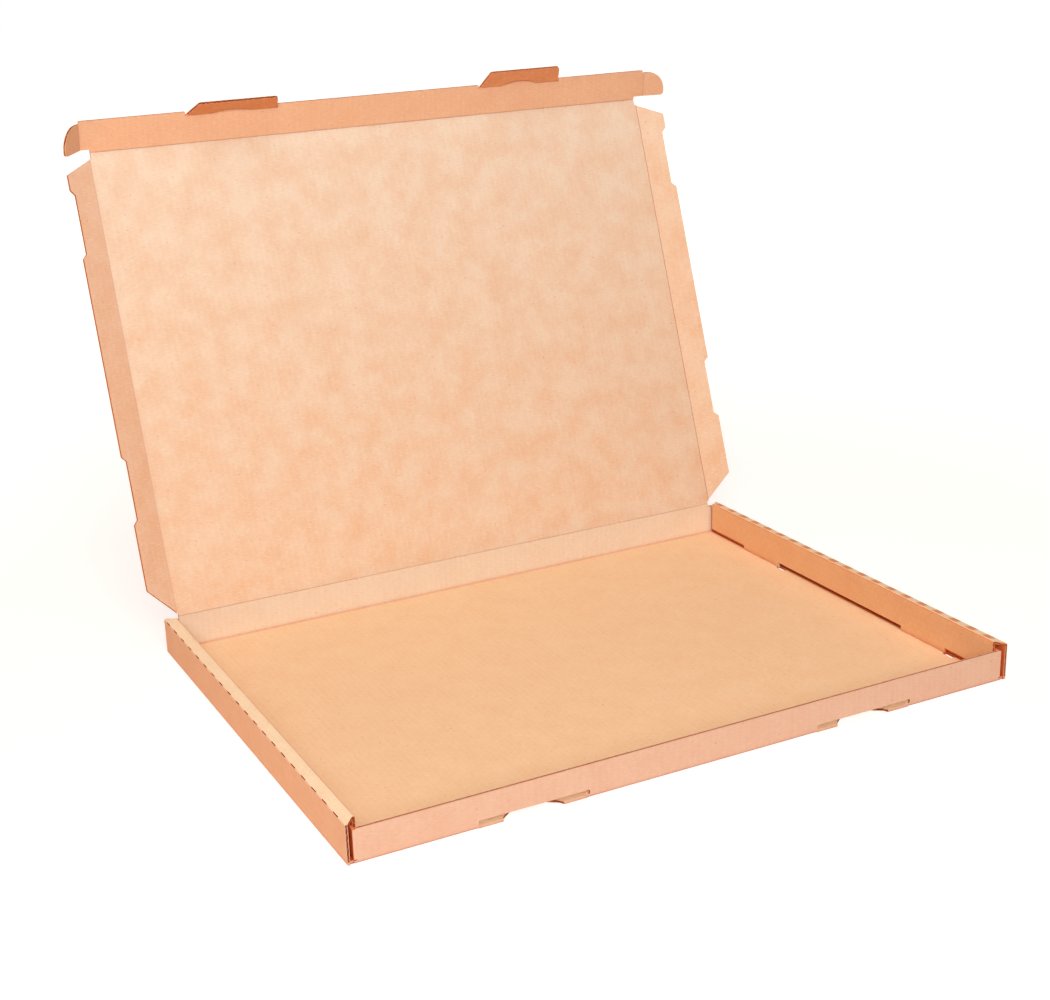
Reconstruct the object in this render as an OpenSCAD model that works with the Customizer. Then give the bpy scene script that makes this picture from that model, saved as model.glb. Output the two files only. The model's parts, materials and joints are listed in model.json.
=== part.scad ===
// Shallow folding mailer for large letters, die cut and folded from one sheet of corrugated board.
// It stands open: the tray is locked, and the lid leans back with its flaps half folded.
// Millimetres, Z up, origin under the middle of the base, front towards -Y.

/* [Tray] */
// Outer length of the tray, side to side
box_l = 350; // [260:1:450]
// Outer depth of the tray, front to back
box_d = 250; // [210:1:320]
// Height of the tray at its highest crease
box_h = 20; // [17:0.5:32]
// Thickness of the corrugated board
board = 1.4; // [1:0.1:1.7]
// Drop of the front wall's cut edge below the highest crease
front_drop = 4; // [2:0.1:5]
// Drop of the back wall's crease with the lid below the highest crease
back_drop = 2.2; // [1.8:0.1:4]

/* [Rolled side walls] */
// Drop of the outer crease of the roll below its inner crease
roll_slope = 1; // [0:0.1:2]
// Gap between the inner wall and the base below it
inner_foot = 1.5; // [0.4:0.1:2]
// Distance by which the inner wall ends short of the outer one, at each end
roll_mitre = 3.5; // [2:0.1:6]
// Gap between the inner wall and the dust flap folded in behind it
layer_gap = 0.1; // [0.05:0.05:0.5]
// Length of each cut dash along the outer crease
dash_l = 5.2; // [2:0.1:8]
// Distance from one dash to the next
dash_pitch = 12.25; // [9:0.25:20]
// Width to which a dash opens when the board is folded
dash_w = 0.5; // [0.3:0.1:1]
// Distance of the first dash from the front, to its middle
dash_start = 10.3; // [6:0.1:15]

/* [Tabs of the inner walls] */
// Length of each tab
foot_tab_l = 34; // [20:1:50]
// Distance of each tab from the middle of the wall
foot_tab_y = 71; // [50:1:78]
// Length of the slot in front of the tab that stays open
slot_spare = 7; // [2:0.5:12]
// Clearance beside a tab in its slot
slot_play = 0.15; // [0.1:0.05:0.3]

/* [Dust flaps of the tray] */
// Length of each dust flap inside the roll
dust_l = 60; // [20:1:90]
// Clearance above and below a dust flap
dust_play = 0.4; // [0.2:0.1:1]
// Radius of the two free corners of a dust flap
dust_r = 5; // [1:0.5:6]

/* [Front locks] */
// Distance of each lock from the middle of the front
lock_x = 88; // [50:1:95]
// Length of each locking tab along its crease
lock_l = 52; // [44:1:60]
// Height of each lock slit above the base
lock_slit_h = 2.2; // [2:0.1:3]
// Clearance at each end of a lock slit
lock_play = 0.5; // [0.2:0.1:1.5]
// Radius of the round cut at the right end of each slit
lock_dot_r = 1.4; // [1.2:0.1:2]
// Reach of each locking tab beyond its crease
lock_reach = 11; // [9:0.5:16]
// How far the left side of a locking tab slants in
lock_slant = 5.5; // [3:0.5:9]
// How far the right side of a locking tab slants in
lock_taper = 2; // [0:0.5:3]
// Radius of the two corners of a locking tab
lock_corner_r = 2; // [0.5:0.5:3]
// Width of the thumb notch at the edge of the base
notch_w = 29.5; // [27:0.5:36]
// Width of the thumb notch at its inner end
notch_inner_w = 15; // [12:0.2:26]
// Depth of the thumb notch
notch_depth = 8; // [4:0.5:12]
// Width of the thumb piece that stays in the front flap
thumb_w = 25; // [18:0.5:27]
// Reach of the thumb piece beyond the crease of its tab
thumb_reach = 3.8; // [2:0.1:4.5]

/* [Lid] */
// Clearance between each side crease of the lid and the inner wall
lid_play = 1.65; // [1.5:0.05:4]
// Clearance under the closed lid, above the back wall
lid_lift = 0.3; // [0.2:0.05:0.6]
// Angle that the lid stands open
lid_open = 109.4; // [95:0.1:130]
// Width of each side flap of the lid
side_flap_w = 16.5; // [8:0.5:20]
// Distance from the hinge to the near end of a side flap
side_flap_start = 2.5; // [2:0.5:10]
// Gap between the far end of a side flap and the front wall
side_flap_gap = 0.6; // [0.4:0.1:4]
// Length of the slanted corner of a side flap near the hinge
side_flap_chamfer = 15; // [4:0.5:24]
// Length of the slanted end of a side flap near the front
side_flap_taper = 8.4; // [2:0.2:15]
// Fold of each side flap
side_flap_fold = 22; // [5:1:40]
// Distance from the hinge to the middle of the rear notch in a side flap
rear_notch_y = 70.8; // [50:0.1:90]
// Distance from the front crease to the middle of the front notch in a side flap
front_notch_y = 37.4; // [34:0.1:60]
// Length of each notch in a side flap
flap_notch_l = 36.2; // [20:0.2:40]
// Depth of each notch in a side flap
flap_notch_depth = 2.5; // [1:0.1:4]

/* [Front flap] */
// Clearance between the closed front flap and the front wall
flap_gap = 0.3; // [0.2:0.05:1]
// Height of the closed front flap above the ground
flap_lift = 0.6; // [0.4:0.1:1]
// Fold of the front flap
front_fold = 28; // [5:1:60]
// Fold of the left locking tab
left_lock_fold = 45; // [0:1:60]
// Fold of the right locking tab
right_lock_fold = 25; // [0:1:60]
// Length of each ear
ear_l = 15; // [12:0.5:18]
// Clearance on each face of an ear in the roll
ear_play = 0.2; // [0.15:0.05:0.6]
// Distance from the front crease to the near edge of an ear
ear_start = 2.5; // [2:0.1:4]
// Clearance between a closed ear and the base
ear_lift = 0.6; // [0.4:0.1:1.5]
// Radius of the large round corner of an ear
ear_big_r = 11; // [6:0.5:11]
// Radius of the small round corner of an ear
ear_small_r = 2; // [0.5:0.5:2.5]
// Fold of the left ear
left_ear_fold = 45; // [0:1:80]
// Fold of the right ear
right_ear_fold = 5; // [0:1:80]

/* [Creases] */
// Outer radius of the creases of the tray
crease_r = 0.8; // [0.3:0.1:1]
// Distance of each fold axis from the middle of the board, towards the inside of the fold
crease_in = 0.35; // [0.2:0.05:0.4]
// Gap between the two boards that meet at a moving crease
crease_gap = 0.1; // [0.05:0.05:0.15]
// Width of a plain die cut beside a tab
cut_w = 0.3; // [0.2:0.05:0.6]

/* [Hidden] */

$fn = 48;
arc_steps = 8;      // points on each rounded corner of an outline
over = 1;           // how far a cut runs past the faces that it passes through

half_l = box_l/2;
half_d = box_d/2;
skin_in = board/2 - crease_in;      // fold axis to the inner face of the board
skin_out = board/2 + crease_in;     // fold axis to the outer face of the board

// Rolled side walls, as distances inwards from the outer face
ear_slot = board + 2*ear_play;
roll_w = 3*board + layer_gap + ear_slot;
inner_face_x = half_l - roll_w;
inner_z = board + inner_foot;
dust_x = inner_face_x + 2*board + layer_gap;
outer_crease_z = box_h - roll_slope;
roll_tilt = atan2(roll_slope, roll_w);

// Front and back walls
front_wall_h = box_h - front_drop;
back_wall_h = box_h - back_drop;
hinge_y = half_d - board/2 - crease_in;
hinge_z = back_wall_h + lid_lift + skin_in;
dust_z = board + dust_play;

// Lid
lid_half = inner_face_x - lid_play;
lid_len = box_d + flap_gap - 2*crease_in;
flap_end = hinge_y + half_d - board - side_flap_gap;

// Front flap, measured from its crease
ear_x = half_l - board - ear_play - skin_out;
ear_end = hinge_z - board - ear_lift;
flap_h = hinge_z - flap_lift;
tab_y = hinge_z - crease_in - board - lock_slit_h/2;
thumb_r = (thumb_w*thumb_w/4 + thumb_reach*thumb_reach)/(2*thumb_reach);

// Colours of the liner, as the daylight shows them on each face
liner = "#ecc491";
liner_warm = "#e3b286";
liner_deep = "#cf8a55";

// Points of an arc about c, from angle a0 to a1
function arc(c, r, a0, a1) =
    [for (i = [0:arc_steps]) let (a = a0 + (a1 - a0)*i/arc_steps) c + r*[cos(a), sin(a)]];

// Arc of radius r in place of the corner b between the points a and c
function rounded(a, b, c, r) =
    let (u = (a - b)/norm(a - b), v = (c - b)/norm(c - b), half = acos(u*v)/2,
        centre = b + r/sin(half)*(u + v)/norm(u + v),
        spread = (90 - half)*sign(u[1]*v[0] - u[0]*v[1]),
        middle = b - centre, at = atan2(middle[1], middle[0]))
    arc(centre, r, at - spread, at + spread);

// Half width of the thumb notch at depth d: an S curve from the wide end to the narrow one
function notch_half(d) =
    let (u = d/notch_depth) notch_w/2 - (notch_w - notch_inner_w)/2*(3*u*u - 2*u*u*u);

// A flat outline as a board whose fold axes lie in the plane Z = 0, outer face up
module sheet() {
    translate([0, 0, -skin_in])
        linear_extrude(board)
            children();
}

// Section of the rounded board edge that a moving crease turns about
module nose_section() {
    intersection() {
        circle(r = skin_out);
        translate([-skin_out, -skin_in])
            square([2*skin_out, board]);
    }
}

// Rounded edge along X, from x0 to x1, about the axis y = z = 0
module nose_x(x0, x1) {
    translate([x0, 0, 0])
        rotate([90, 0, 90])
            linear_extrude(x1 - x0)
                nose_section();
}

// Rounded edge along Y, from y = -y0 to -y1, about the axis x = z = 0
module nose_y(y0, y1) {
    translate([0, -y0, 0])
        rotate([90, 0, 0])
            linear_extrude(y1 - y0)
                nose_section();
}

// Room for a rounded edge in the board that folds about it
module nose_room_x(x0, x1) {
    translate([x0, 0, 0])
        rotate([0, 90, 0])
            cylinder(r = skin_out + crease_gap, h = x1 - x0);
}

module nose_room_y(y0, y1) {
    translate([0, -y0, 0])
        rotate([90, 0, 0])
            cylinder(r = skin_out + crease_gap, h = y1 - y0);
}

// Where each board hangs on the one before it
module on_lid() {
    translate([0, hinge_y, hinge_z])
        rotate([-lid_open, 0, 0])
            children();
}

module on_side_flap(side) {
    on_lid()
        translate([side*lid_half, 0, 0])
            rotate([0, side*side_flap_fold, 0])
                children();
}

module on_front_flap() {
    on_lid()
        translate([0, -lid_len, 0])
            rotate([front_fold, 0, 0])
                children();
}

module on_lock_tab(side, fold) {
    on_front_flap()
        translate([side*lock_x, -tab_y, 0])
            rotate([fold, 0, 0])
                children();
}

module on_ear(side, fold) {
    on_front_flap()
        translate([side*ear_x, 0, 0])
            rotate([0, side*fold, 0])
                children();
}

// Both ends of the tray, or both sides, from one
module both_sides() {
    children();
    mirror([1, 0, 0]) children();
}

module both_ends() {
    children();
    mirror([0, 1, 0]) children();
}

// Section of the board where the base turns up into a wall, fold towards -X
module fold_corner() {
    polygon(concat([[0, 0], [-board, 0]],
        rounded([-board, 0], [-board, -board], [0, -board], crease_r), [[0, -board]]));
}

// Section of the rolled wall: up from the base, over both creases and down inside; x inwards
module roll_section() {
    lower = [0, outer_crease_z];
    upper = [roll_w, box_h];
    under = board/cos(roll_tilt);
    polygon(concat(
        rounded([board, 0], [0, 0], lower, crease_r),
        rounded([0, 0], lower, upper, crease_r),
        rounded(lower, upper, [roll_w, 0], crease_r),
        [[roll_w, inner_z], [roll_w - board, inner_z],
            [roll_w - board, box_h - board*tan(roll_tilt) - under],
            [board, outer_crease_z + board*tan(roll_tilt) - under],
            [board, 0]]));
}

// What is cut off one end of a rolled wall, seen from above, so that its inner wall ends short
module roll_end() {
    polygon([[board, half_d + over], [board, half_d], [roll_w - board, half_d - roll_mitre],
        [roll_w + over, half_d - roll_mitre], [roll_w + over, half_d + over]]);
}

// The left rolled wall, without its dashes
module rolled_wall() {
    translate([-half_l, 0, 0]) {
        difference() {
            translate([0, half_d, 0])
                rotate([90, 0, 0])
                    linear_extrude(box_d)
                        roll_section();
            both_ends()
                translate([0, 0, board])
                    linear_extrude(box_h)
                        roll_end();
        }
        for (y = [-foot_tab_y, foot_tab_y])
            translate([roll_w - board, y - foot_tab_l/2, 0])
                cube([board, foot_tab_l, inner_z + board]);
    }
}

// Cut dashes along the outer crease, which open as the board is folded over
module crease_dashes() {
    count = floor((box_d - dash_start - dash_l)/dash_pitch) + 1;
    for (i = [0:count - 1])
        translate([-half_l, -half_d + dash_start + i*dash_pitch, outer_crease_z])
            rotate([0, 45 - roll_tilt/2, 0])
                translate([-over, -dash_l/2, -dash_w/2])
                    cube([2*board + over, dash_l, dash_w]);
}

// Slots in the base for the tabs of the left inner wall, longer than the tabs at the front
module foot_slots() {
    for (y = [-foot_tab_y, foot_tab_y])
        translate([-inner_face_x - board - slot_play, y - foot_tab_l/2 - slot_spare, -over])
            cube([board + 2*slot_play, foot_tab_l + slot_spare + slot_play, board + over + inner_foot/2]);
}

// Front wall of height h, with the dust flaps that turn into the rolls
module end_wall(h) {
    dust_h = h - dust_play - dust_z;
    translate([-dust_x, -half_d + board, board])
        rotate([90, 0, 90])
            linear_extrude(2*dust_x)
                fold_corner();
    translate([-dust_x + board, -half_d, board])
        cube([2*(dust_x - board), board, h - board]);
    both_sides() {
        translate([-dust_x + board, -half_d + board, dust_z])
            linear_extrude(dust_h)
                fold_corner();
        translate([-dust_x, -half_d + board, dust_z])
            rotate([90, 0, 90])
                linear_extrude(board)
                    polygon(concat([[0, 0]],
                        arc([dust_l - dust_r, dust_r], dust_r, -90, 0),
                        arc([dust_l - dust_r, dust_h - dust_r], dust_r, 0, 90), [[0, dust_h]]));
    }
}

// Slit, round cut and thumb notch of one front lock, to be taken from the tray
module lock_cuts() {
    slit = lock_l + 2*lock_play;
    translate([-slit/2, -half_d - over, board])
        cube([slit, board + 2*over, lock_slit_h]);
    translate([slit/2, -half_d + board + over, board + lock_slit_h/2])
        rotate([90, 0, 0])
            cylinder(r = lock_dot_r, h = board + 2*over);
    translate([0, -half_d, -over])
        linear_extrude(board + 2*over)
            polygon(concat([[notch_w/2, -over]],
                [for (i = [0:arc_steps]) let (d = notch_depth*i/arc_steps) [notch_half(d), d]],
                [for (i = [arc_steps:-1:0]) let (d = notch_depth*i/arc_steps) [-notch_half(d), d]],
                [[-notch_w/2, -over]]));
}

// The lips of the base beside the thumb notch, cut square and flush with the front wall
module lock_lip() {
    slit = lock_l + 2*lock_play;
    translate([-slit/2, -half_d, 0])
        cube([slit, board, board]);
}

module tray() {
    color(liner)
    difference() {
        union() {
            translate([-half_l + board, -half_d + board/2, 0])
                cube([box_l - 2*board, box_d - board, board]);
            both_sides()
                rolled_wall();
            end_wall(front_wall_h);
            mirror([0, 1, 0])
                end_wall(back_wall_h);
            for (x = [-lock_x, lock_x])
                translate([x, 0, 0])
                    lock_lip();
            translate([-lid_half, half_d - board, back_wall_h])
                cube([2*lid_half, board, hinge_z - back_wall_h]);
            translate([0, hinge_y, hinge_z])
                rotate([-90, 0, 0])
                    nose_x(-lid_half, lid_half);
        }
        both_sides() {
            crease_dashes();
            difference() {
                foot_slots();
                for (y = [-foot_tab_y, foot_tab_y])
                    translate([-inner_face_x - board, y - foot_tab_l/2, -over])
                        cube([board, foot_tab_l, 2*board + over]);
            }
        }
        for (x = [-lock_x, lock_x])
            translate([x, 0, 0])
                lock_cuts();
    }
}

module lid_panel() {
    color(liner)
    on_lid()
    difference() {
        union() {
            sheet()
                translate([-lid_half, -lid_len])
                    square([2*lid_half, lid_len]);
            translate([0, -lid_len, 0])
                nose_x(-lid_half, lid_half);
            both_sides()
                translate([lid_half, 0, 0])
                    nose_y(side_flap_start, flap_end);
        }
        nose_room_x(-half_l, half_l);
    }
}

// One flap notch with slanted ends: y0 is its near end, w the width of the flap
function flap_notch(w, y0) = let (d = flap_notch_depth)
    [[w, -y0], [w - d, -y0 - d], [w - d, -y0 - flap_notch_l + d], [w, -y0 - flap_notch_l]];

// Side flap that folds from the lid's right crease
module side_flap() {
    w = side_flap_w;
    rear = rear_notch_y - flap_notch_l/2;
    front = lid_len - front_notch_y - flap_notch_l/2;
    difference() {
        sheet()
            polygon(concat([[0, -side_flap_start], [w, -side_flap_start - side_flap_chamfer]],
                flap_notch(w, rear),
                flap_notch(w, front),
                [[w, -flap_end + side_flap_taper], [0, -flap_end]]));
        nose_room_y(0, lid_len);
    }
}

module left_side_flap() {
    color(liner_warm)
    on_side_flap(-1)
        mirror([1, 0, 0])
            side_flap();
}

module right_side_flap() {
    color(liner_warm)
    on_side_flap(1)
        side_flap();
}

// Outline of the thumb piece, from the crease of its tab; grow widens it by a cut
module thumb_outline(grow) {
    translate([0, thumb_r - thumb_reach])
        circle(r = thumb_r + grow);
}

module front_flap() {
    recess = lock_l + 2*cut_w;
    color(liner_warm)
    on_front_flap()
    difference() {
        union() {
            sheet() {
                difference() {
                    polygon([[-lid_half, 0], [-lid_half, -ear_start], [-ear_x, -ear_start],
                        [-ear_x, -flap_h], [ear_x, -flap_h], [ear_x, -ear_start],
                        [lid_half, -ear_start], [lid_half, 0]]);
                    for (x = [-lock_x, lock_x])
                        translate([x - recess/2, -flap_h - over])
                            square([recess, flap_h - tab_y + over]);
                }
                for (x = [-lock_x, lock_x])
                    translate([x, -tab_y])
                        intersection() {
                            thumb_outline(0);
                            translate([-thumb_w/2, -thumb_reach])
                                square([thumb_w, thumb_reach + board]);
                        }
            }
            for (x = [-lock_x, lock_x])
                translate([x, -tab_y, 0])
                    nose_x(-lock_l/2, lock_l/2);
            for (side = [-1, 1])
                translate([side*ear_x, 0, 0])
                    nose_y(ear_start, ear_end);
        }
        nose_room_x(-half_l, half_l);
    }
}

// Locking tab with slanted sides, two round corners and room for the thumb piece
module lock_tab() {
    half = lock_l/2;
    near_left = [-half, 0];
    far_left = [-half + lock_slant, -lock_reach];
    far_right = [half - lock_taper, -lock_reach];
    near_right = [half, 0];
    difference() {
        sheet()
            difference() {
                polygon(concat([near_left],
                    rounded(near_left, far_left, far_right, lock_corner_r),
                    rounded(far_left, far_right, near_right, lock_corner_r),
                    [near_right]));
                thumb_outline(cut_w);
            }
        nose_room_x(-half - over, half + over);
    }
}

module left_lock_tab() {
    color(liner_deep)
    on_lock_tab(-1, left_lock_fold)
        lock_tab();
}

module right_lock_tab() {
    color(liner_deep)
    on_lock_tab(1, right_lock_fold)
        lock_tab();
}

// Ear that tucks into the open end of the right roll
module ear() {
    small = ear_small_r;
    big = min(ear_big_r, ear_end - ear_start - small);
    difference() {
        sheet()
            polygon(concat([[0, -ear_start]],
                arc([ear_l - small, -ear_start - small], small, 90, 0),
                arc([ear_l - big, -ear_end + big], big, 0, -90), [[0, -ear_end]]));
        nose_room_y(0, flap_h);
    }
}

module left_ear() {
    color(liner_deep)
    on_ear(-1, left_ear_fold)
        mirror([1, 0, 0])
            ear();
}

module right_ear() {
    color(liner_warm)
    on_ear(1, right_ear_fold)
        ear();
}

tray();
lid_panel();
left_side_flap();
right_side_flap();
front_flap();
left_lock_tab();
right_lock_tab();
left_ear();
right_ear();
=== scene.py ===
import json
import math

import bmesh
import bpy
from mathutils import Matrix, Vector


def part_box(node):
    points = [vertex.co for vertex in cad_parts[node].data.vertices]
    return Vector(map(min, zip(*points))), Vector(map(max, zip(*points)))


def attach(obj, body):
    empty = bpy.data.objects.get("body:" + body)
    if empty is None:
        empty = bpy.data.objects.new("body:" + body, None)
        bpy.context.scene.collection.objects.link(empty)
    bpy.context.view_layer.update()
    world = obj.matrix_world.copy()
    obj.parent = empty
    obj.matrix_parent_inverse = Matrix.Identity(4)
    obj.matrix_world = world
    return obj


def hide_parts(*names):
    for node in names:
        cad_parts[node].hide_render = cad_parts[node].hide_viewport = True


# Folding mailer for large letters: corrugated kraft board, open, in soft daylight.
# The board's own pieces come from the frame. Here their cut edges are opened so that the flutes
# show, and the paper gets its fibres, specks and the marks beside the right roll's dashes.
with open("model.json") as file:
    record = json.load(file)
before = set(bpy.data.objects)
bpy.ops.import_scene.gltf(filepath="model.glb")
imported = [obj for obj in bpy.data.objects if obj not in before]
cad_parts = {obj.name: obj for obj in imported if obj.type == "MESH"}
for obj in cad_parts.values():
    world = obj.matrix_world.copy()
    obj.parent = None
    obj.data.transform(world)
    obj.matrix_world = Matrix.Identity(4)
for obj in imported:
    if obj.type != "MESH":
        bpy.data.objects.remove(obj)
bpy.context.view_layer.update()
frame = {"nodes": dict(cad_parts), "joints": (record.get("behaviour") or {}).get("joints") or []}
mm = 0.001

mailer = {
    "board": 1.4,           # mm thick
    "creaseIn": 0.35,       # fold axes lie this far inside the middle of the board
    "lidOpen": 109.4,       # degrees from closed
    "sideFold": 22.0,       # folds at rest
    "frontFold": 28.0,
    "leftLockFold": 45.0,
    "rightLockFold": 25.0,
    "leftEarFold": 45.0,
    "rightEarFold": 5.0,
}

fluting = {
    "pitch": 3.2,           # mm from one flute to the next, as on an E flute
    "liner": 0.24,          # mm, the flat paper on each face
    "paper": 0.17,          # mm, the wavy paper between them
    "depth": 1.1,           # mm that one can see into the flutes
    "setBack": 0.08,        # mm that the wavy paper stays behind the cut
    "steps": 10,            # points on one wave
    "creaseRoom": 1.35,     # mm beside a moving crease that stays shut
    "shortest": 2.0,        # mm, a shorter cut stays shut
    "outside": 0.5,         # mm that the opening starts before the cut
}

# What counts as the same: millimetres for places, and the share of a normal for directions
close = {
    "weld": 0.002,
    "point": 0.03,
    "height": 0.05,
    "upright": 0.02,
    "facing": 0.9,
    "face": 0.5,
    "layer": 0.1,
}
smoothTo = 32               # degrees, a sharper edge stays sharp
flatTo = 0.5                # degrees, faces that are this flat become one


def toLinear(code):
    # sRGB hex to the linear values that Blender's sockets take
    parts = [int(code[i:i + 2], 16)/255 for i in (1, 3, 5)]
    return [p/12.92 if p <= 0.04045 else ((p + 0.055)/1.055)**2.4 for p in parts] + [1.0]


# Where each board lies when it is flat: matrices from its own flat frame to its place at rest
jointAt = {j["name"]: Vector(j["pos_m"]) for j in frame["joints"]}


def turned(parent, at, axis, degrees):
    # A frame whose origin is at a point of the model, turned against its parent's
    matrix = parent.to_3x3().to_4x4() @ Matrix.Rotation(math.radians(degrees), 4, axis)
    return Matrix.Translation(at) @ matrix


place = {"tray": Matrix.Identity(4)}
place["lid_panel"] = turned(place["tray"], jointAt["lid_hinge"], "X", -mailer["lidOpen"])
place["front_flap"] = turned(place["lid_panel"], jointAt["front_fold"], "X", mailer["frontFold"])
for side, sign in (("left", -1), ("right", 1)):
    place[side + "_side_flap"] = turned(place["lid_panel"], jointAt[side + "_side_fold"], "Y",
                                        sign*mailer["sideFold"])
    place[side + "_lock_tab"] = turned(place["front_flap"], jointAt[side + "_lock_fold"], "X",
                                       mailer[side + "LockFold"])
    place[side + "_ear"] = turned(place["front_flap"], jointAt[side + "_ear_fold"], "Y",
                                  sign*mailer[side + "EarFold"])


def addNode(tree, kind, settings=None, **links):
    # Adds a shader node: settings are its properties, with stops for a colour ramp, and links are
    # its inputs by name or as in0, in1, each a value or the output that feeds it
    node = tree.nodes.new(kind)
    for key, value in (settings or {}).items():
        if key != "stops":
            setattr(node, key, value)
            continue
        elements = node.color_ramp.elements
        for extra in value[2:]:
            elements.new(extra[0])
        for element, (position, tone) in zip(elements, value):
            element.position = position
            element.color = toLinear(tone) if isinstance(tone, str) else [tone, tone, tone, 1]
    for key, value in links.items():
        socket = node.inputs[int(key[2:])] if key[2:].isdigit() else node.inputs[key.replace("_", " ")]
        if isinstance(value, bpy.types.NodeSocket):
            tree.links.new(value, socket)
        else:
            socket.default_value = value
    return node


# Unbleached kraft liner: long-fibred paper off a machine, uncoated. Matt, with a faint warm mottle,
# fine fibres lying every way, pale and dark specks of unpulped wood, and the flutes showing through
# as a hardly visible washboard.
kraft = {
    "darkFibre": "#d9a77c",
    "paleFibre": "#ffe4cb",
    "speck": "#a9713f",
    "roughness": 0.85,      # uncoated paper
    "specular": 0.2,
    "fibreLength": 3.4,     # mm
    "fibreWidth": 0.34,     # mm; real fibres are near 0.04, too fine to show, so they are drawn coarser
    "speckSpacing": 5.0,    # mm
    "mottleSize": 16.0,     # mm
    "towardsHingeFrom": -245.0,    # mm from the hinge, across the lid
    "towardsHingeTo": 0.0,
    "relief": 0.05,         # mm that the fibres stand out
    "fibreWays": (8, 67, 128),                      # degrees
    "darkFibreAt": [(0.38, 0.30), (0.47, 0.0)],     # share of the tone where the noise has that value
    "paleFibreAt": [(0.54, 0.0), (0.64, 0.34)],
    "mottleAt": [(0.34, 0.0), (0.70, 0.45)],
    "speckAt": [(0.03, 1.0), (0.085, 0.0)],         # by the distance from the middle of a cell
    "speckChance": [(0.80, 0.0), (1.0, 0.55)],      # by the lot that the cell has drawn
    "speckBend": 0.45,      # how far a speck's outline strays
    "washboard": [(0.0, 0.98), (0.6, 1.0)],         # shade over one flute
    "washboardRelief": 0.35,                        # share of the fibres' relief
    "bump": 0.35,
}

# Darker patches beside the cut dashes along the right roll
dashPatches = {
    "tone": "#dc9a68",
    "start": -114.7,        # mm, the first dash
    "pitch": 12.25,         # mm
    "reach": (2.0, 3.6),    # mm along the roll
    "edge": (169.6, 171.0), # mm from the middle of the box
}

# Painted shade in narrow gaps and inner corners: red-brown, as light that gets there has met warm paper
# many times
gapShade = {
    "tone": "#d8602a",
    "reach": 3.0,           # mm
    "samples": 4,
    # Painted shade of the base under the rolls
    "rollTone": "#e0702f",  # of the base under the rolls
    "rollFrom": 169.2,      # mm from the middle of the box
    "rollTo": 170.0,
    "dullFrom": 0.25,       # share of the tone from which the paper has no sheen
    "stops": [(0.05, 1.0), (0.3, 0.65), (0.55, 0.22), (0.85, 0.0)],     # share where so much is open
}


def paintGapShade(tree, tone, sheen):
    # Paints shade: turns a tone red-brown in gaps and inner corners, by how little room is open around
    # it, and takes the sheen away there
    sees = addNode(tree, "ShaderNodeAmbientOcclusion", {"samples": gapShade["samples"]},
                   Distance=gapShade["reach"]*mm)
    shut = addNode(tree, "ShaderNodeValToRGB", {"stops": gapShade["stops"]}, in0=sees.outputs["AO"])
    tinted = addNode(tree, "ShaderNodeMix", {"data_type": "RGBA", "blend_type": "MULTIPLY"},
                     in0=shut.outputs[0], in6=tone, in7=toLinear(gapShade["tone"]))
    dull = addNode(tree, "ShaderNodeMapRange", Value=shut.outputs[0], From_Max=gapShade["dullFrom"],
                   To_Min=sheen, To_Max=0.0)
    return tinted.outputs[2], dull.outputs[0]


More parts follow.
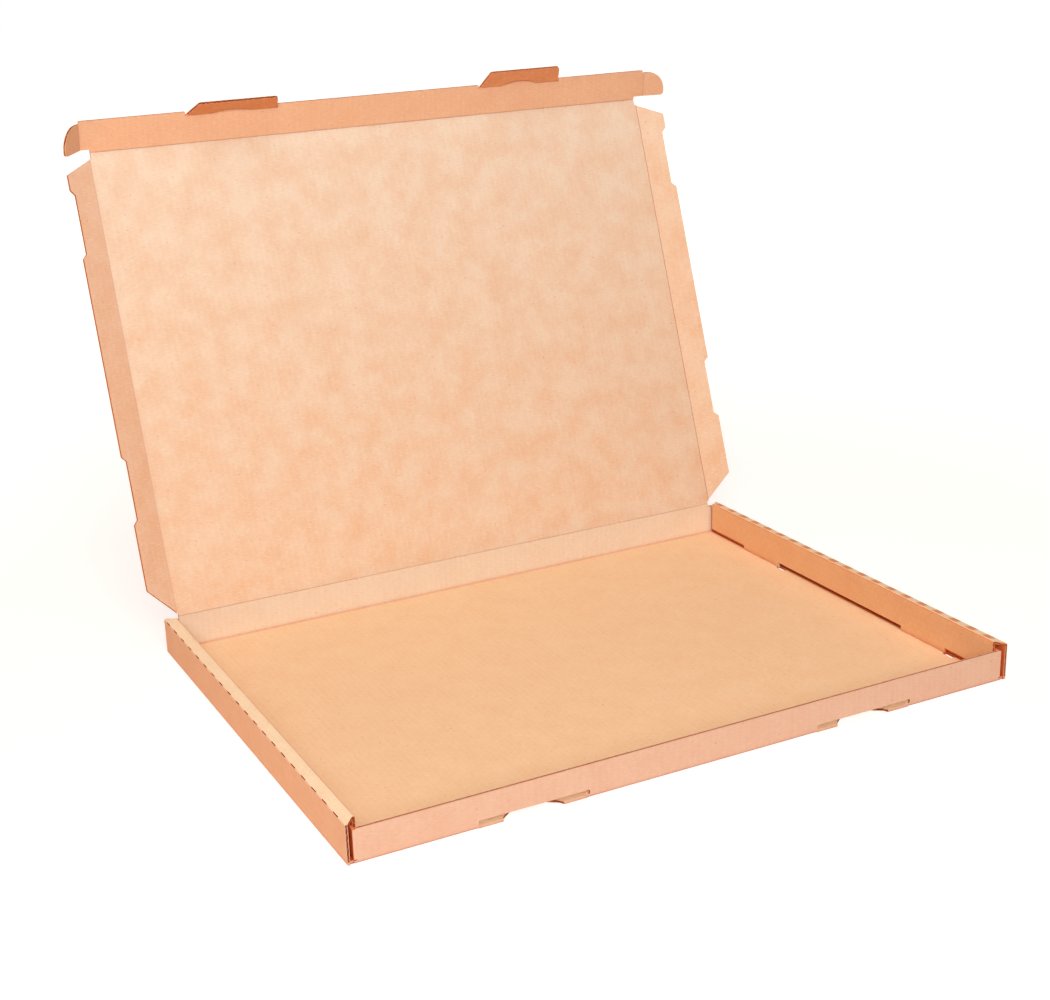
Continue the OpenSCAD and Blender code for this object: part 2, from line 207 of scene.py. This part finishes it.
def kraftLiner(name, colour, mottle, towardsHinge=0.0, dashPatched=False, shadeUnderRolls=False):
    # The mottle's share grows by the given amount from the lid's free edge to its hinge, so the paper
    # darkens towards the hinge.
    # A liner may get darker spots beside the cut dashes of the right roll, and painted shade under the
    # rolls: red-brown there, where the light has met warm paper many times.
    material = bpy.data.materials.new(name)
    material.use_nodes = True
    tree = material.node_tree
    tree.nodes.clear()
    sheet = addNode(tree, "ShaderNodeUVMap", {"uv_map": "sheet"}).outputs["UV"]     # millimetres
    # Fibres in three directions: noise stretched along each
    fibre = 0.0
    for degrees in kraft["fibreWays"]:
        along = addNode(tree, "ShaderNodeMapping", Vector=sheet, Rotation=(0, 0, math.radians(degrees)),
                        Scale=(1/kraft["fibreLength"], 1/kraft["fibreWidth"], 1))
        noise = addNode(tree, "ShaderNodeTexNoise", {"noise_dimensions": "2D"},
                        Vector=along.outputs[0], Scale=1.0, Detail=2.0, Roughness=0.6)
        fibre = addNode(tree, "ShaderNodeMath", {"operation": "MULTIPLY_ADD"}, in0=noise.outputs["Fac"],
                        in1=1/3, in2=fibre).outputs[0]
    darker = addNode(tree, "ShaderNodeValToRGB", {"stops": kraft["darkFibreAt"]}, in0=fibre)
    paler = addNode(tree, "ShaderNodeValToRGB", {"stops": kraft["paleFibreAt"]}, in0=fibre)
    # Mottle of the paper, where the pulp lay thicker
    cloud = addNode(tree, "ShaderNodeTexNoise", {"noise_dimensions": "2D"}, Vector=sheet,
                    Scale=1/kraft["mottleSize"], Detail=4.0, Roughness=0.62)
    cloudy = addNode(tree, "ShaderNodeValToRGB", {"stops": kraft["mottleAt"]}, in0=cloud.outputs["Fac"])
    split = addNode(tree, "ShaderNodeSeparateXYZ", Vector=sheet)
    slow = addNode(tree, "ShaderNodeMapRange", Value=split.outputs[1], From_Min=kraft["towardsHingeFrom"],
                   From_Max=kraft["towardsHingeTo"], To_Max=towardsHinge)
    cloudy = addNode(tree, "ShaderNodeMath", {"operation": "ADD"}, in0=cloudy.outputs[0],
                     in1=slow.outputs[0])
    # Specks: uneven little shapes, in a few cells of a cell pattern
    bend = addNode(tree, "ShaderNodeTexNoise", {"noise_dimensions": "2D"}, Vector=sheet, Scale=1.7,
                   Detail=1.0)
    bent = addNode(tree, "ShaderNodeMix", {"data_type": "RGBA", "blend_type": "LINEAR_LIGHT"},
                   in0=kraft["speckBend"], in6=sheet, in7=bend.outputs["Color"])
    cells = addNode(tree, "ShaderNodeTexVoronoi", {"voronoi_dimensions": "2D"}, Vector=bent.outputs[2],
                    Scale=1/kraft["speckSpacing"])
    dot = addNode(tree, "ShaderNodeValToRGB", {"stops": kraft["speckAt"]}, in0=cells.outputs["Distance"])
    chosen = addNode(tree, "ShaderNodeSeparateColor", in0=cells.outputs["Color"])
    few = addNode(tree, "ShaderNodeValToRGB", {"stops": kraft["speckChance"]}, in0=chosen.outputs[0])
    speck = addNode(tree, "ShaderNodeMath", {"operation": "MULTIPLY"}, in0=dot.outputs[0],
                    in1=few.outputs[0])
    # The washboard of the flutes under the liner, stronger in some places
    turns = addNode(tree, "ShaderNodeMath", {"operation": "MULTIPLY"}, in0=split.outputs[0],
                    in1=2*math.pi/fluting["pitch"])
    wave = addNode(tree, "ShaderNodeMath", {"operation": "SINE"}, in0=turns.outputs[0])
    uneven = addNode(tree, "ShaderNodeTexNoise", {"noise_dimensions": "2D"}, Vector=sheet, Scale=0.03,
                     Detail=3.0)
    washboard = addNode(tree, "ShaderNodeMath", {"operation": "MULTIPLY"}, in0=wave.outputs[0],
                        in1=uneven.outputs["Fac"])
    tone = toLinear(colour)
    for share, other in ((cloudy, mottle), (darker, kraft["darkFibre"]), (paler, kraft["paleFibre"]),
                         (speck, kraft["speck"])):
        tone = addNode(tree, "ShaderNodeMix", {"data_type": "RGBA"}, in0=share.outputs[0], in6=tone,
                       in7=toLinear(other)).outputs[2]
    shade = addNode(tree, "ShaderNodeValToRGB", {"stops": kraft["washboard"]}, in0=washboard.outputs[0])
    tone = addNode(tree, "ShaderNodeMix", {"data_type": "RGBA", "blend_type": "MULTIPLY"}, in0=1.0,
                   in6=tone, in7=shade.outputs[0])
    if dashPatched:
        far = addNode(tree, "ShaderNodeMath", {"operation": "SUBTRACT"}, in0=split.outputs[1],
                      in1=dashPatches["start"])
        far = addNode(tree, "ShaderNodeMath", {"operation": "PINGPONG"}, in0=far.outputs[0],
                      in1=dashPatches["pitch"]/2)
        near = addNode(tree, "ShaderNodeMapRange", Value=far.outputs[0], From_Min=dashPatches["reach"][0],
                       From_Max=dashPatches["reach"][1], To_Min=1.0, To_Max=0.0)
        onEdge = addNode(tree, "ShaderNodeMapRange", Value=split.outputs[0], From_Min=dashPatches["edge"][0],
                         From_Max=dashPatches["edge"][1])
        mark = addNode(tree, "ShaderNodeMath", {"operation": "MULTIPLY"}, in0=near.outputs[0],
                       in1=onEdge.outputs[0])
        tone = addNode(tree, "ShaderNodeMix", {"data_type": "RGBA"}, in0=mark.outputs[0],
                       in6=tone.outputs[2], in7=toLinear(dashPatches["tone"]))
    # Painted shade: red-brown on the base under the rolls
    if shadeUnderRolls:
        aside = addNode(tree, "ShaderNodeMath", {"operation": "ABSOLUTE"}, in0=split.outputs[0])
        under = addNode(tree, "ShaderNodeMapRange", Value=aside.outputs[0], From_Min=gapShade["rollFrom"],
                        From_Max=gapShade["rollTo"])
        tone = addNode(tree, "ShaderNodeMix", {"data_type": "RGBA"}, in0=under.outputs[0],
                       in6=tone.outputs[2], in7=toLinear(gapShade["rollTone"]))
    # Painted shade: red-brown and without sheen in gaps and inner corners
    tone, sheen = paintGapShade(tree, tone.outputs[2], kraft["specular"])
    # Relief: the fibres stand out by some hundredths of a millimetre, the washboard by less
    height = addNode(tree, "ShaderNodeMath", {"operation": "MULTIPLY_ADD"}, in0=washboard.outputs[0],
                     in1=kraft["washboardRelief"], in2=fibre)
    bump = addNode(tree, "ShaderNodeBump", Strength=kraft["bump"], Distance=kraft["relief"]*mm,
                   Height=height.outputs[0])
    shader = addNode(tree, "ShaderNodeBsdfPrincipled", Base_Color=tone, Roughness=kraft["roughness"],
                     Specular_IOR_Level=sheen, Normal=bump.outputs[0])
    addNode(tree, "ShaderNodeOutputMaterial", Surface=shader.outputs[0])
    return material


# Recycled fluting paper and the raw cut: duller and browner than the liner, and rougher
core = {"colour": "#dfa87c", "deep": "#bd8458", "roughness": 0.95, "specular": 0.1, "grain": 0.5,
        "relief": 0.05}


def flutingPaper(name):
    material = bpy.data.materials.new(name)
    material.use_nodes = True
    tree = material.node_tree
    tree.nodes.clear()
    spot = addNode(tree, "ShaderNodeTexCoord")
    noise = addNode(tree, "ShaderNodeTexNoise", Vector=spot.outputs["Object"],
                    Scale=1/(core["grain"]*mm), Detail=3.0)
    tone = addNode(tree, "ShaderNodeValToRGB", {"stops": [(0.35, core["deep"]), (0.62, core["colour"])]},
                   in0=noise.outputs["Fac"])
    bump = addNode(tree, "ShaderNodeBump", Strength=0.5, Distance=core["relief"]*mm,
                   Height=noise.outputs["Fac"])
    # Painted shade in gaps, as on the liners
    tone, sheen = paintGapShade(tree, tone.outputs[0], core["specular"])
    shader = addNode(tree, "ShaderNodeBsdfPrincipled", Base_Color=tone, Roughness=core["roughness"],
                     Specular_IOR_Level=sheen, Normal=bump.outputs[0])
    addNode(tree, "ShaderNodeOutputMaterial", Surface=shader.outputs[0])
    return material


# The liners of the sheet, all one board. The base and outer liners have their own tones; the others are
# copies in other tones that paint light and shade.
baseLiner = kraftLiner("inner kraft liner of the base", "#f3d3aa", "#eec799", shadeUnderRolls=True)
# Painted light: the insides of the walls, and the lid with the right side flap, are paler.
litWallLiner = kraftLiner("inner kraft liner of the walls with painted light", "#e8d4bb", "#e3c8ab")
litLidLiner = kraftLiner("inner kraft liner of the lid with painted light", "#e6d7c1", "#deb591", 0.5)
# Painted shade: the left side flap, the front flap with its ears, and the tabs are darker.
shadedSideLiner = kraftLiner("inner kraft liner of the left side flap with painted shade", "#e7c8ae", "#deb08a", 0.35)
shadedFlapLiner = kraftLiner("inner kraft liner of the front flap with painted shade", "#e8bd9a", "#e2ae88")
shadedTabLiner = kraftLiner("inner kraft liner of the tabs with painted shade", "#dc986b", "#d48b5c")
outerLiner = kraftLiner("outer kraft liner", "#e9c9b0", "#e4bb9f")
# Painted shade on the inner walls of the rolls, painted light on their tops, and deep painted shade on
# the faces shut inside them.
shadedInnerWallLiner = kraftLiner("outer kraft liner of the inner walls with painted shade", "#edb887", "#e7a979")
litRollTopLiner = kraftLiner("outer kraft liner of the roll tops with painted light", "#f5e2c0", "#efd4ad",
                            dashPatched=True)
rollShadeLiner = kraftLiner("kraft liner in the rolls with painted deep shade", "#e8803f", "#dc7436")
flutePaper = flutingPaper("fluting paper")
papers = {"cut": 1, "outer": 2, "wall": 3, "roll": 4, "litRollTop": 5, "shut": 6}     # material slots
print("materials made")


def cutLines(bm, creases, inPart):
    # Finds the cut edges of a board that lies in XY with its middle at Z = 0, from the faces that
    # stand square on it. Gives lists of points in order, each with the way into the board.
    pieces = []
    room = fluting["creaseRoom"]
    for face in bm.faces:
        heights = [v.co.z for v in face.verts]
        high, low = max(heights), min(heights)
        whole = max(abs(high - low - mailer["board"]), abs(high + low)) < close["height"]
        if abs(face.normal.z) > close["upright"] or not whole:
            continue
        along = Vector((0, 0, 1)).cross(face.normal)
        runs = sorted((v.co.dot(along), v.co.x, v.co.y) for v in face.verts)
        a, b = Vector((runs[0][1], runs[0][2], 0)), Vector((runs[-1][1], runs[-1][2], 0))
        if not inPart((a + b)/2):
            continue
        # A cut ends beside a moving crease
        for axis, value in creases:
            da, db = a[axis] - value, b[axis] - value
            if abs(da) < room and abs(db) < room:
                a = b
                break
            edge = value + math.copysign(room, da if abs(da) > room else db)
            if abs(da) < room:
                a = b.lerp(a, (edge - b[axis])/(a[axis] - b[axis]))
            elif abs(db) < room:
                b = a.lerp(b, (edge - a[axis])/(b[axis] - a[axis]))
        if (b - a).length > close["point"]/3:
            pieces.append([a, b])
    lines = []
    while pieces:
        line = pieces.pop()
        grown = True
        while grown:
            grown = False
            for other in pieces:
                if (other[0] - line[-1]).length < close["point"]:
                    line.extend(other[1:])
                elif (other[-1] - line[0]).length < close["point"]:
                    line[:0] = other[:-1]
                else:
                    continue
                pieces.remove(other)
                grown = True
                break
        length = sum((b - a).length for a, b in zip(line, line[1:]))
        if length > fluting["shortest"]:
            lines.append(line)
    edges = []
    for line in lines:
        ways = [Vector((0, 0, 1)).cross(b - a).normalized() for a, b in zip(line, line[1:])]
        inward = []
        for i in range(len(line)):
            first, second = ways[max(i - 1, 0)], ways[min(i, len(ways) - 1)]
            middle = (first + second).normalized()
            inward.append(middle/max(middle.dot(first), 0.5))
        edges.append({"line": line, "inward": inward, "across": [Vector((0, 0, 1))]*len(line),
                      "flute": [p.x for p in line],
                      "fluteInward": [w.x for w in inward]})
    return edges


def strip(bm, edge, heights, thick, depths, slot):
    # A closed strip along a cut edge, thick through the board, from the first depth to the last.
    # heights gives its middle at each point and depth.
    rows = []
    for point, inward, across, levels in zip(edge["line"], edge["inward"], edge["across"], heights):
        lower = [bm.verts.new(point + inward*d + across*(h - thick/2)) for d, h in zip(depths, levels)]
        upper = [bm.verts.new(point + inward*d + across*(h + thick/2)) for d, h in zip(depths, levels)]
        rows.append(lower + upper[::-1])
    faces = [bm.faces.new(rows[0]), bm.faces.new(rows[-1][::-1])]
    for a, b in zip(rows, rows[1:]):
        for i in range(len(a)):
            j = (i + 1) % len(a)
            faces.append(bm.faces.new((a[j], a[i], b[i], b[j])))
    for face in faces:
        face.material_index = slot
    bmesh.ops.recalc_face_normals(bm, faces=faces)


def finer(edge):
    # The same edge with points close enough together to draw the waves
    step = fluting["pitch"]/fluting["steps"]
    result = {key: [] for key in edge}
    count = len(edge["line"])
    for i in range(count - 1):
        parts = max(1, math.ceil((edge["line"][i + 1] - edge["line"][i]).length/step))
        for k in range(parts + (i == count - 2)):
            for key, values in edge.items():
                result[key].append(values[i] + (values[i + 1] - values[i])*(k/parts))
    return result


def openEdges(name, sheets, liner, holes=()):
    # Copies a board, opens its cut edges between the two liners and puts the wavy paper inside.
    # Each sheet is a flat part of it: its matrix in millimetres, its creases, its extent and what
    # is added to the cuts that are found in it. A hole is a box that is also cut out, in millimetres.
    node = frame["nodes"][name]
    piece = bpy.data.objects.new(name + "_board", node.data.copy())
    bpy.context.scene.collection.objects.link(piece)
    bm = bmesh.new()
    bm.from_mesh(piece.data)
    bmesh.ops.remove_doubles(bm, verts=bm.verts, dist=close["weld"]*mm)
    bmesh.ops.dissolve_limit(bm, angle_limit=math.radians(flatTo), verts=bm.verts, edges=bm.edges)
    for face in bm.faces:
        face.material_index = 0
    bm.to_mesh(piece.data)
    gap = mailer["board"] - 2*fluting["liner"]
    swing = (gap - fluting["paper"])/2
    cutter, waves = bmesh.new(), bmesh.new()
    for matrix, creases, inPart, more in sheets:
        flat = bm.copy()
        bmesh.ops.transform(flat, matrix=matrix.inverted(), verts=flat.verts)
        flat.normal_update()
        edges = cutLines(flat, creases, inPart) + more
        flat.free()
        before = len(cutter.verts), len(waves.verts)
        for edge in edges:
            strip(cutter, edge, [(0, 0)]*len(edge["line"]), gap, (-fluting["outside"], fluting["depth"]),
                  papers["cut"])
            fine = finer(edge)
            # Where the cut runs along the flutes, the wavy paper bends as it goes in
            columns = 2 + round(4*max(abs(v) for v in edge["fluteInward"]))
            depths = [fluting["setBack"] + fluting["depth"]*k/(columns - 1) for k in range(columns)]
            heights = [[swing*math.sin(2*math.pi*(f + g*d)/fluting["pitch"]) for d in depths]
                       for f, g in zip(fine["flute"], fine["fluteInward"])]
            strip(waves, fine, heights, fluting["paper"], depths, papers["cut"])
        for mesh, count in ((cutter, before[0]), (waves, before[1])):
            mesh.verts.ensure_lookup_table()
            bmesh.ops.transform(mesh, matrix=matrix, verts=mesh.verts[count:])
        print(name, "cut edges opened:", len(edges))
    for low, high in holes:
        box = bmesh.ops.create_cube(cutter, size=1.0)["verts"]
        middle = [(a + b)/2*mm for a, b in zip(low, high)]
        size = [(b - a)*mm for a, b in zip(low, high)]
        boxPlace = Matrix.Translation(middle) @ Matrix.Diagonal(size + [1])
        bmesh.ops.transform(cutter, verts=box, matrix=boxPlace)
    bm.free()
    piece.data.materials.clear()
    for material in (liner, flutePaper, outerLiner, litWallLiner, shadedInnerWallLiner, litRollTopLiner, rollShadeLiner):
        piece.data.materials.append(material)
    if len(cutter.verts):
        cutterMesh = bpy.data.meshes.new("cutter")
        cutter.to_mesh(cutterMesh)
        for material in (liner, flutePaper):
            cutterMesh.materials.append(material)
        cutterPiece = bpy.data.objects.new("cutter", cutterMesh)
        bpy.context.scene.collection.objects.link(cutterPiece)
        cut = piece.modifiers.new("cut", "BOOLEAN")
        cut.operation = "DIFFERENCE"
        cut.solver = "EXACT"
        cut.use_self = True
        cut.object = cutterPiece
        bpy.context.view_layer.update()
        graph = bpy.context.evaluated_depsgraph_get()
        opened = bpy.data.meshes.new_from_object(piece.evaluated_get(graph))
        piece.modifiers.clear()
        piece.data = opened
        bpy.data.objects.remove(cutterPiece)
        joined = bmesh.new()
        joined.from_mesh(piece.data)
        waveMesh = bpy.data.meshes.new("waves")
        waves.to_mesh(waveMesh)
        joined.from_mesh(waveMesh)
        joined.to_mesh(piece.data)
        joined.free()
        bpy.data.meshes.remove(waveMesh)
    cutter.free()
    waves.free()
    piece.data.shade_smooth()
    piece.data.set_sharp_from_angle(angle=math.radians(smoothTo))
    # Flat boards keep flat shading up to their rounded edges
    piece.modifiers.new("flat boards", "WEIGHTED_NORMAL").keep_sharp = True
    sheetMap(piece, name)
    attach(piece, name)
    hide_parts(name)


def sheetMap(piece, name):
    # Flat coordinates of the sheet in millimetres: across the flutes, then along them. Also gives
    # each face its paper.
    back = place[name].inverted()
    turn = back.to_3x3()
    mesh = piece.data
    layer = mesh.uv_layers.get("sheet") or mesh.uv_layers.new(name="sheet")
    for face in mesh.polygons:
        normal = turn @ face.normal
        if face.material_index == 0:
            face.material_index = paperOf(name, normal, back @ face.center)
        for loop in face.loop_indices:
            spot = back @ mesh.vertices[mesh.loops[loop].vertex_index].co / mm
            if abs(normal.x) > 0.75:
                flat = (spot.z + spot.x, spot.y)
            elif abs(normal.y) > 0.75:
                flat = (spot.x, spot.z + spot.y)
            else:
                flat = (spot.x, spot.y)
            layer.data[loop].uv = flat


def paperOf(name, normal, middle):
    # The lid and its flaps lie face down when shut. In the tray the inner liner is on the base and
    # on the insides of the front and back walls; the rolls turn the outer one inwards.
    if name != "tray":
        return papers["outer"] if normal.z > close["face"] else 0
    spot = middle/mm
    if normal.z > close["facing"] and spot.z < 2*board:
        return 0
    # The insides of the walls get the paler copy with painted light.
    if abs(normal.y) > close["facing"] and normal.y*spot.y < 0:
        return papers["wall"]
    inside = halfLength - abs(spot.x) - roll["width"]       # 0 at the inner wall's face
    inDepth = abs(spot.y) < halfDepth - close["face"] and spot.z > close["layer"]
    inRoll = inside < close["layer"] and inDepth
    # On the rolls: painted light on the tops, painted shade on the inner walls, and deep painted shade on
    # the faces shut inside.
    if inRoll and normal.z > close["facing"] and spot.z > highTray[2]/mm - 2*roll["slope"]:
        return papers["litRollTop"]
    if inRoll and abs(normal.x) > close["facing"] and normal.x*spot.x < 0 and inside > -close["face"]:
        return papers["roll"]
    if inRoll and abs(spot.x) < halfLength - close["face"]:
        return papers["shut"]
    return papers["outer"]


def flatSheet(name):
    # The frame of a flat board, in millimetres, with its middle at Z = 0
    return place[name] @ Matrix.Scale(mm, 4) @ Matrix.Translation((0, 0, mailer["creaseIn"]))


def everywhere(point):
    return True


# Sizes read off the frame, in millimetres
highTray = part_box("tray")[1]
halfLength, halfDepth = highTray[0]/mm, highTray[1]/mm
board = mailer["board"]
flapToTab = jointAt["left_lock_fold"] - jointAt["front_fold"]
tabY = -math.hypot(flapToTab.y, flapToTab.z)/mm
earX = jointAt["right_ear_fold"].x/mm
lockX = jointAt["right_lock_fold"].x/mm

openEdges("lid_panel", [], litLidLiner)
for side, liner in (("left", shadedSideLiner), ("right", litLidLiner)):
    openEdges(side + "_side_flap", [(flatSheet(side + "_side_flap"), [(0, 0)], everywhere, [])], liner)
    openEdges(side + "_lock_tab", [(flatSheet(side + "_lock_tab"), [(1, 0)], everywhere, [])], shadedTabLiner)
    openEdges(side + "_ear", [(flatSheet(side + "_ear"), [(0, 0)], everywhere, [])], shadedFlapLiner)
openEdges("front_flap", [(flatSheet("front_flap"), [(1, 0), (1, tabY), (0, earX), (0, -earX)], everywhere,
                          [])], shadedFlapLiner)
print("lid and flaps done")

# The tray: the base with its lips and thumb notches, the front wall, and the ends of the rolls
roll = {
    "width": 6.1,           # mm, outer face to inner face
    "slope": 1.0,           # mm that the outer crease lies lower
    "mitre": 3.5,           # mm that the inner wall ends short
    "foot": 2.9,            # mm above the ground, lower edge of the inner wall
    "lip": (27.0, 9.5),     # mm, half length and depth of the cuts beside a thumb notch
    "spare": (-95.0, 47.0), # mm, the front end of the stretch of each slot that stays open
    "spareLength": 7.0,     # mm
    "wide": 1.5,            # mm by which the punch cut it wider than the board, towards the inside
    "free": ((-122.0, -88.0), (-54.0, 54.0), (88.0, 122.0)),    # mm, the foot between the tabs
    "rise": 0.9,            # mm that the foot has crept up there
    "bend": 0.1,            # mm from a crease of the roll to the flat board
    "over": 0.2,            # mm that a cut starts before the board
    "past": 0.05,           # mm that it ends behind the inner wall
    "below": 1.0,           # mm that a hole starts under the base
}
baseSheet = Matrix.Scale(mm, 4) @ Matrix.Translation((0, 0, board/2))
wallSheet = (Matrix.Scale(mm, 4) @ Matrix.Translation((0, -halfDepth + board/2, 0))
             @ Matrix.Rotation(math.radians(90), 4, "X"))


def besideNotch(point):
    return (abs(abs(point.x) - lockX) < roll["lip"][0]
            and abs(point.y + halfDepth) < roll["lip"][1])


def rollEnds():
    # The cut ends of both rolls: up the outer wall, across the top and down the inner wall
    height = highTray[2]/mm
    middle = board/2
    lowCrease, highCrease = height - roll["slope"] - middle, height - middle
    section = [(middle, board, 0), (middle, lowCrease, 0), (board, lowCrease + roll["bend"], 0),
               (roll["width"] - board, highCrease - roll["bend"], roll["mitre"]),
               (roll["width"] - middle, highCrease, roll["mitre"]),
               (roll["width"] - middle, roll["foot"], roll["mitre"])]
    runs = [0.0]
    for (xa, za, ya), (xb, zb, yb) in zip(section, section[1:]):
        runs.append(runs[-1] + math.hypot(xb - xa, zb - za))
    edges = []
    for sideways in (-1, 1):
        for end in (-1, 1):
            line = [Vector((sideways*(halfLength - x), end*(halfDepth - y), z)) for x, z, y in section]
            ways = []
            for a, b in zip(line, line[1:]):
                way = Vector((b.x - a.x, 0, b.z - a.z)).normalized()
                ways.append(Vector((-way.z, 0, way.x))*sideways)
            across = []
            for i in range(len(line)):
                first, second = ways[max(i - 1, 0)], ways[min(i, len(ways) - 1)]
                middleWay = (first + second).normalized()
                across.append(middleWay/max(middleWay.dot(first), 0.5))
            edges.append({"line": line, "inward": [Vector((0, -end, 0))]*len(line), "across": across,
                          "flute": runs, "fluteInward": [0.0]*len(line)})
    return edges


def slotHoles():
    # The open stretch of each slot in the base, and the foot of the inner wall between its tabs
    wall = halfLength - roll["width"]
    holes = []
    for sideways in (-1, 1):
        left, right = sorted((sideways*(wall - roll["wide"]), sideways*(wall + roll["over"])))
        for start in roll["spare"]:
            end, top = start + roll["spareLength"], board + fluting["outside"]
            holes.append(((left, start, -roll["below"]), (right, end, top)))
        left, right = sorted((sideways*(wall - roll["over"]), sideways*(wall + board + roll["past"])))
        for start, end in roll["free"]:
            low, high = roll["foot"] - roll["over"], roll["foot"] + roll["rise"]
            holes.append(((left, start, low), (right, end, high)))
    return holes


openEdges("tray", [(baseSheet, [], besideNotch, []), (wallSheet, [], everywhere, []),
                   (Matrix.Scale(mm, 4), [], lambda point: False, rollEnds())], baseLiner, slotHoles())
print("boards done")


def seenRays(tree):
    # One for what the camera sees, directly or in a reflection, and nought for the light between things
    path = addNode(tree, "ShaderNodeLightPath")
    seen = path.outputs["Is Camera Ray"]
    for other in ("Is Glossy Ray", "Is Transmission Ray"):
        seen = addNode(tree, "ShaderNodeMath", {"operation": "MAXIMUM"}, in0=seen,
                       in1=path.outputs[other]).outputs[0]
    return seen


# Floor and backdrop: white card, which the camera sees as white while it still takes the shadow
stage = {
    "size": 12.0,
    "colour": "#b3a79d",
    "bounce": "#c99a74",    # what it throws back at the box, like the board it would lie on
    "lift": 0.75,           # added for the camera near the box, where the shadow is
    "white": 1.0,           # and added far from it
    "near": 0.35,           # metres from the middle at which the lift starts to rise
    "far": 0.9,
}


def paperFloor():
    mesh = bpy.data.meshes.new("floor")
    half = stage["size"]/2
    mesh.from_pydata([(-half, -half, 0), (half, -half, 0), (half, half, 0), (-half, half, 0)], [],
                     [(0, 1, 2, 3)])
    floor = bpy.data.objects.new("floor", mesh)
    bpy.context.scene.collection.objects.link(floor)
    floor.location.z = -0.05*mm
    material = bpy.data.materials.new("white card floor")
    material.use_nodes = True
    tree = material.node_tree
    tree.nodes.clear()
    seen = seenRays(tree)
    tone = addNode(tree, "ShaderNodeMix", {"data_type": "RGBA"}, in0=seen,
                   in6=toLinear(stage["bounce"]), in7=toLinear(stage["colour"]))
    diffuse = addNode(tree, "ShaderNodeBsdfDiffuse", Color=tone.outputs[2])
    spot = addNode(tree, "ShaderNodeTexCoord")
    away = addNode(tree, "ShaderNodeVectorMath", {"operation": "LENGTH"}, in0=spot.outputs["Object"])
    rise = addNode(tree, "ShaderNodeMapRange", Value=away.outputs["Value"], From_Min=stage["near"],
                   From_Max=stage["far"], To_Min=stage["lift"], To_Max=stage["white"])
    lift = addNode(tree, "ShaderNodeMath", {"operation": "MULTIPLY"}, in0=seen, in1=rise.outputs[0])
    glow = addNode(tree, "ShaderNodeEmission", Color=(1, 1, 1, 1), Strength=lift.outputs[0])
    both = addNode(tree, "ShaderNodeAddShader", in0=diffuse.outputs[0], in1=glow.outputs[0])
    addNode(tree, "ShaderNodeOutputMaterial", Surface=both.outputs[0])
    mesh.materials.append(material)


paperFloor()

daylight = {
    "low": 0.0,             # strength of the room at the horizon and overhead
    "high": 0.46,
    "roomColour": "#ffbc95",
    "window": {"at": (-0.6, -1.4, 0.95), "size": (0.9, 0.9), "power": 26.5, "colour": "#ffffff"},
    "top": {"at": (-0.2, -0.3, 1.8), "size": (0.9, 0.9), "power": 7.0, "colour": "#ffffff"},
    "back": {"at": (-0.1, 1.7, 0.35), "size": (1.0, 0.5), "power": 4.0, "colour": "#fff4ea"},
    # Brown card that lies low on the left and only reaches the outside
    "card": {"at": (-0.62, -0.05, 0.01), "size": (0.5, 0.018), "power": 0.9, "colour": "#ffd0a0"},
}


def lamp(name, setup):
    data = bpy.data.lights.new(name, "AREA")
    data.shape = "RECTANGLE"
    data.size, data.size_y = setup["size"]
    data.energy = setup["power"]
    data.color = toLinear(setup["colour"])[:3]
    thing = bpy.data.objects.new(name, data)
    bpy.context.scene.collection.objects.link(thing)
    thing.location = setup["at"]
    aim = Vector((0, 0.02, 0.08)) - thing.location
    thing.rotation_euler = aim.to_track_quat("-Z", "Y").to_euler()


def skyWorld():
    world = bpy.data.worlds.new("soft sky")
    bpy.context.scene.world = world
    world.use_nodes = True
    tree = world.node_tree
    tree.nodes.clear()
    seen = seenRays(tree)
    spot = addNode(tree, "ShaderNodeTexCoord")
    way = addNode(tree, "ShaderNodeSeparateXYZ", in0=spot.outputs["Generated"])
    rise = addNode(tree, "ShaderNodeMapRange", Value=way.outputs["Z"], To_Min=daylight["low"],
                   To_Max=daylight["high"])
    sky = addNode(tree, "ShaderNodeBackground", Color=toLinear(daylight["roomColour"]),
                  Strength=rise.outputs[0])
    white = addNode(tree, "ShaderNodeBackground", Color=(1, 1, 1, 1), Strength=1.0)
    both = addNode(tree, "ShaderNodeMixShader", in0=seen, in1=sky.outputs[0], in2=white.outputs[0])
    addNode(tree, "ShaderNodeOutputWorld", Surface=both.outputs[0])


skyWorld()
lamp("window light", daylight["window"])
lamp("top light", daylight["top"])
lamp("back light", daylight["back"])
lamp("brown card", daylight["card"])
print("light done")

# The camera, solved from the corners of the box in the photograph
shot = {
    "frame": (1050, 1000),
    "focal": 1730.0,            # pixels
    "centre": (460, 500),       # where the optical axis meets the picture
    "azimuth": -25.27,
    "height": 18.97,
    "roll": -2.47,
    "distance": 1139.2,         # mm
    "target": (66.8, 264.0, 0.0),
}


def camera():
    a, e, r = (math.radians(shot[k]) for k in ("azimuth", "height", "roll"))
    back = Vector((math.sin(a)*math.cos(e), -math.cos(a)*math.cos(e), math.sin(e)))
    level = Vector((math.cos(a), math.sin(a), 0))
    rise = back.cross(level)
    right = level*math.cos(r) + rise*math.sin(r)
    up = rise*math.cos(r) - level*math.sin(r)
    data = bpy.data.cameras.new("camera")
    data.sensor_width = 36.0
    data.lens = data.sensor_width*shot["focal"]/shot["frame"][0]
    data.shift_x = (shot["frame"][0]/2 - shot["centre"][0])/shot["frame"][0]
    data.shift_y = (shot["centre"][1] - shot["frame"][1]/2)/shot["frame"][0]
    data.clip_start, data.clip_end = 0.01, 50
    thing = bpy.data.objects.new("camera", data)
    bpy.context.scene.collection.objects.link(thing)
    turn = Matrix((right, up, back)).transposed().to_4x4()
    thing.matrix_world = Matrix.Translation((Vector(shot["target"]) + back*shot["distance"])*mm) @ turn
    bpy.context.scene.camera = thing


camera()
bpy.context.scene.view_settings.view_transform = "Standard"
print("camera done")
